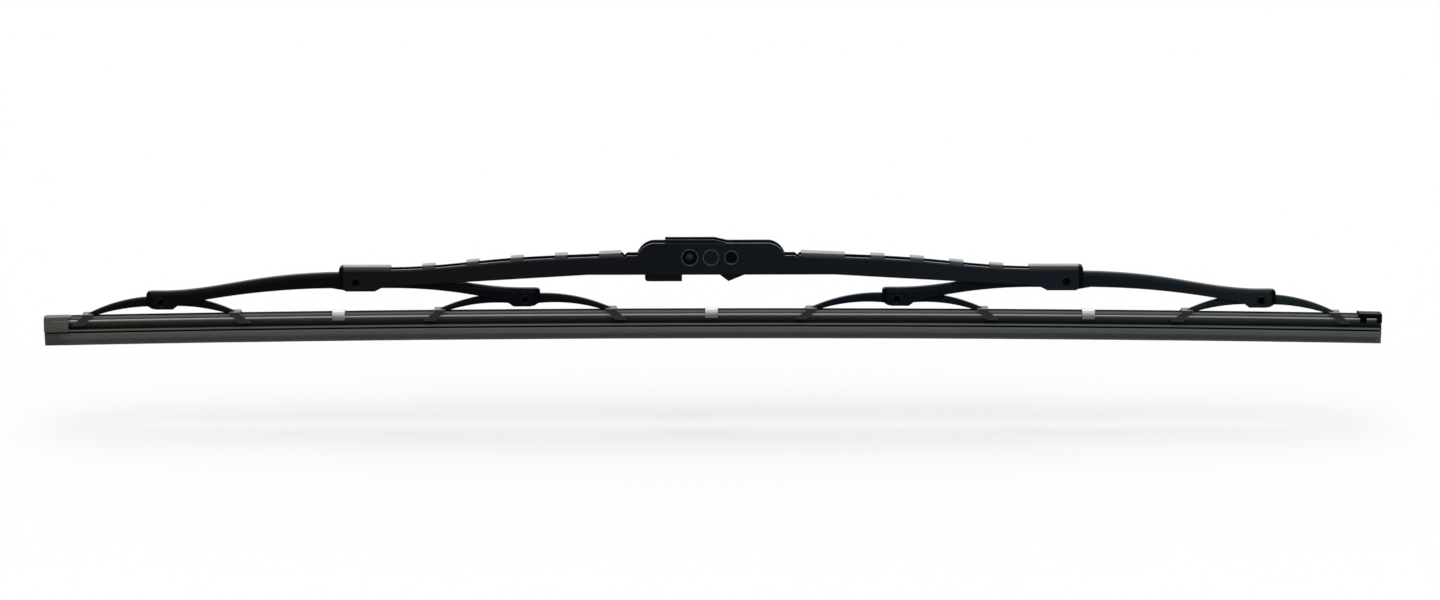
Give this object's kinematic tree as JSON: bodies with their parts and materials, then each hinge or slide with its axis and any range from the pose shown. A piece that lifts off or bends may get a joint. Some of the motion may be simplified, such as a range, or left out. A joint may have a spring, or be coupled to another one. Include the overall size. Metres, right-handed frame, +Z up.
{
  "type": "wiper blade",
  "caption": "Bracket windscreen wiper blade: stamped levers pivot on rivets and carry claws that grip a railed rubber strip, with a hook adapter in the middle.",
  "frame": {"origin": "the middle of the adapter rivet, where the blade turns on the arm's hook", "axes": "+X along the blade towards the end with the black rail clip, -Y the front shown in the picture, +Z up from the wiping edge to the levers"},
  "size_m": [0.6, 0.0136, 0.048],
  "materials": {
    "lever_paint": "semi-gloss black paint on stamped steel",
    "rivet_steel": "black painted steel rivet",
    "adapter_plastic": "moulded black plastic, satin",
    "liner_plastic": "moulded black plastic",
    "rubber": "matt dark grey rubber with a fine moulded pattern on the lip",
    "rail_steel": "bare spring steel strip",
    "clip_steel": "bright plated steel",
    "end_clip_paint": "gloss black steel"
  },
  "bodies": {
    "blade": {"primary_lever": "lever_paint", "adapter_rivet": "rivet_steel", "lever_liner_left": "liner_plastic", "lever_liner_right": "liner_plastic", "lever_rivet_left": "rivet_steel", "lever_rivet_right": "rivet_steel", "wiper_rubber": "rubber", "rail_front": "rail_steel", "rail_rear": "rail_steel", "rail_clip_left": "clip_steel", "rail_clip_centre": "clip_steel", "rail_clip_right": "clip_steel", "rail_end_clip": "end_clip_paint"},
    "adapter": {"arm_adapter": "adapter_plastic"},
    "secondary_left": {"secondary_lever_left": "lever_paint", "yoke_liner_outer_left": "liner_plastic", "yoke_rivet_outer_left": "rivet_steel", "yoke_liner_inner_left": "liner_plastic", "yoke_rivet_inner_left": "rivet_steel"},
    "outer_yoke_left": {"yoke_outer_left": "lever_paint"},
    "inner_yoke_left": {"yoke_inner_left": "lever_paint"},
    "secondary_right": {"secondary_lever_right": "lever_paint", "yoke_liner_outer_right": "liner_plastic", "yoke_rivet_outer_right": "rivet_steel", "yoke_liner_inner_right": "liner_plastic", "yoke_rivet_inner_right": "rivet_steel"},
    "outer_yoke_right": {"yoke_outer_right": "lever_paint"},
    "inner_yoke_right": {"yoke_inner_right": "lever_paint"}
  },
  "joints": [
    {"name": "adapter_pivot", "type": "hinge", "parent": "blade", "child": "adapter", "pos_m": [0, 0, 0], "axis": [0, 1, 0], "range_deg": [-20, 20]},
    {"name": "lever_pivot_left", "type": "hinge", "parent": "blade", "child": "secondary_left", "pos_m": [-0.1592, 0, -0.0113], "axis": [0, -1, 0], "range_deg": [-1.5, 5], "stiffness_Nm_per_rad": 0.8, "deforming": ["wiper_rubber", "rail_front", "rail_rear"]},
    {"name": "yoke_pivot_outer_left", "type": "hinge", "parent": "secondary_left", "child": "outer_yoke_left", "pos_m": [-0.24659, 0, -0.02034], "axis": [0, -1, 0], "range_deg": [-1.5, 3], "stiffness_Nm_per_rad": 0.06, "deforming": ["wiper_rubber", "rail_front", "rail_rear"]},
    {"name": "yoke_pivot_inner_left", "type": "hinge", "parent": "secondary_left", "child": "inner_yoke_left", "pos_m": [-0.08333, 0, -0.01922], "axis": [0, 1, 0], "range_deg": [-1.5, 3], "stiffness_Nm_per_rad": 0.06, "deforming": ["wiper_rubber", "rail_front", "rail_rear"]},
    {"name": "lever_pivot_right", "type": "hinge", "parent": "blade", "child": "secondary_right", "pos_m": [0.1592, 0, -0.0113], "axis": [0, 1, 0], "range_deg": [-1.5, 5], "stiffness_Nm_per_rad": 0.8, "deforming": ["wiper_rubber", "rail_front", "rail_rear"]},
    {"name": "yoke_pivot_outer_right", "type": "hinge", "parent": "secondary_right", "child": "outer_yoke_right", "pos_m": [0.24659, 0, -0.02034], "axis": [0, 1, 0], "range_deg": [-1.5, 3], "stiffness_Nm_per_rad": 0.06, "deforming": ["wiper_rubber", "rail_front", "rail_rear"]},
    {"name": "yoke_pivot_inner_right", "type": "hinge", "parent": "secondary_right", "child": "inner_yoke_right", "pos_m": [0.08333, 0, -0.01922], "axis": [0, -1, 0], "range_deg": [-1.5, 3], "stiffness_Nm_per_rad": 0.06, "deforming": ["wiper_rubber", "rail_front", "rail_rear"]}
  ]
}
